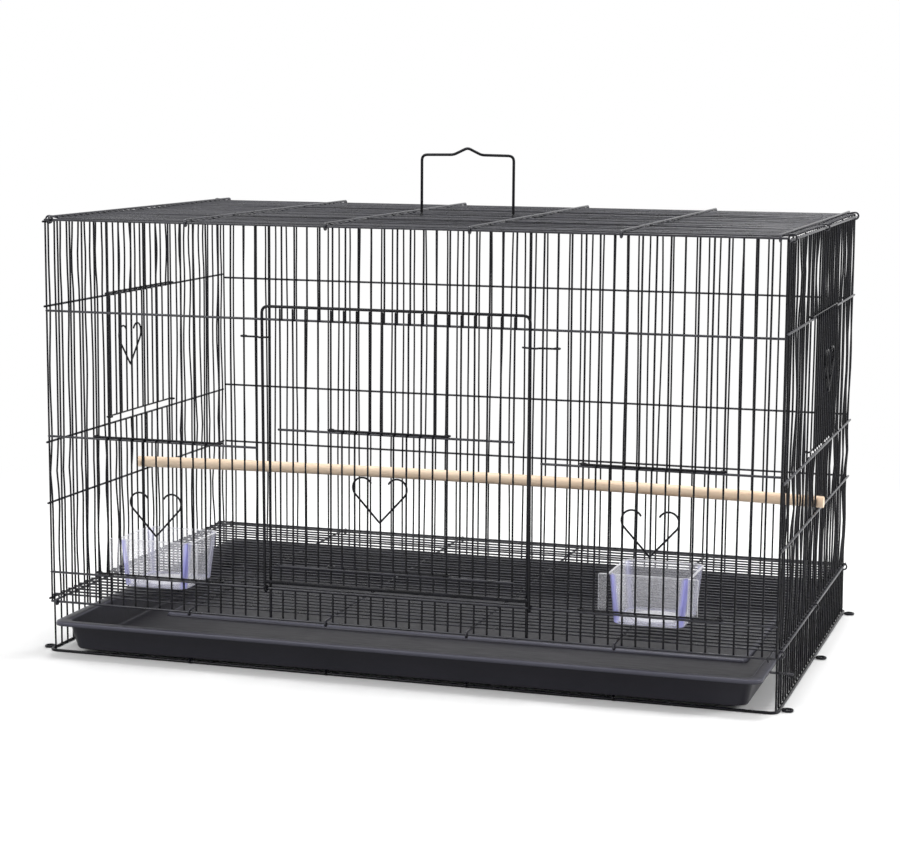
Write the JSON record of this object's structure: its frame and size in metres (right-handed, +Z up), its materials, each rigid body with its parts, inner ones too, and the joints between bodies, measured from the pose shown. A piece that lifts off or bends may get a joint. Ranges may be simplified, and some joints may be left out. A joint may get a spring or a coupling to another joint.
{
  "type": "bird cage",
  "caption": "Rectangular wire bird cage with a drop-down front door, sliding feeder and side doors, clear feed cups, a perch, a slide-out tray and a top handle.",
  "frame": {"origin": "centre of the base frame's footprint, on the ground plane under the cage", "axes": "+Z up, front of the cage towards -Y, width along X"},
  "size_m": [0.792, 0.4848, 0.5245],
  "materials": {
    "wire": "satin black coating",
    "tray": "gloss",
    "cup": "clear",
    "wood": "plain"
  },
  "bodies": {
    "cage": {"front_uprights": "wire", "front_posts": "wire", "front_rails": "wire", "back_uprights": "wire", "back_rails": "wire", "left_uprights": "wire", "left_rails": "wire", "right_uprights": "wire", "right_rails": "wire", "tray_stop": "wire", "top_wires": "wire", "top_cross_wires": "wire", "floor_wires": "wire", "floor_cross_wires": "wire", "base_frame": "wire", "base_eyes": "wire", "base_cross_wires": "wire", "perch": "wood"},
    "main_door": {"main_door_frame": "wire", "main_door_wires": "wire", "main_door_rails": "wire"},
    "inner_door": {"inner_door_bars": "wire", "inner_door_wires": "wire", "inner_door_heart": "wire"},
    "left_feeder": {"left_feeder_bars": "wire", "left_feeder_wires": "wire", "left_feeder_heart": "wire"},
    "right_feeder": {"right_feeder_bars": "wire", "right_feeder_wires": "wire", "right_feeder_heart": "wire"},
    "left_side_door": {"left_side_bars": "wire", "left_side_wires": "wire", "left_side_heart": "wire"},
    "right_side_door": {"right_side_bars": "wire", "right_side_wires": "wire", "right_side_heart": "wire"},
    "left_latch": {"left_latch": "wire"},
    "right_latch": {"right_latch": "wire"},
    "handle": {"handle": "wire"},
    "tray": {"tray": "tray"},
    "left_cup": {"left_cup": "cup"},
    "right_cup": {"right_cup": "cup"}
  },
  "joints": [
    {"name": "main_door_hinge", "type": "hinge", "parent": "cage", "child": "main_door", "pos_m": [0, -0.2312, 0.085], "axis": [1, 0, 0], "range_deg": [0, 90]},
    {"name": "inner_door_slide", "type": "slide", "parent": "main_door", "child": "inner_door", "axis": [0, 0, 1], "range_m": [0, 0.1]},
    {"name": "left_feeder_slide", "type": "slide", "parent": "cage", "child": "left_feeder", "axis": [0, 0, 1], "range_m": [0, 0.12]},
    {"name": "right_feeder_slide", "type": "slide", "parent": "cage", "child": "right_feeder", "axis": [0, 0, 1], "range_m": [0, 0.12]},
    {"name": "left_side_slide", "type": "slide", "parent": "cage", "child": "left_side_door", "axis": [0, 0, 1], "range_m": [0, 0.08]},
    {"name": "right_side_slide", "type": "slide", "parent": "cage", "child": "right_side_door", "axis": [0, 0, 1], "range_m": [0, 0.08]},
    {"name": "left_latch_swing", "type": "hinge", "parent": "cage", "child": "left_latch", "pos_m": [-0.16169, -0.229, 0.34], "axis": [0, 0, -1], "range_deg": [0, 100]},
    {"name": "right_latch_swing", "type": "hinge", "parent": "cage", "child": "right_latch", "pos_m": [0.16169, -0.229, 0.34], "axis": [0, 0, 1], "range_deg": [0, 100]},
    {"name": "handle_fold", "type": "hinge", "parent": "cage", "child": "handle", "pos_m": [0, 0, 0.4511], "axis": [1, 0, 0], "range_deg": [-75, 75]},
    {"name": "tray_slide", "type": "slide", "parent": "cage", "child": "tray", "axis": [0, -1, 0], "range_m": [0, 0.4]},
    {"name": "left_cup_lift", "type": "slide", "parent": "cage", "child": "left_cup", "axis": [0, 0, 1], "range_m": [0, 0.05]},
    {"name": "right_cup_lift", "type": "slide", "parent": "cage", "child": "right_cup", "axis": [0, 0, 1], "range_m": [0, 0.05]}
  ]
}
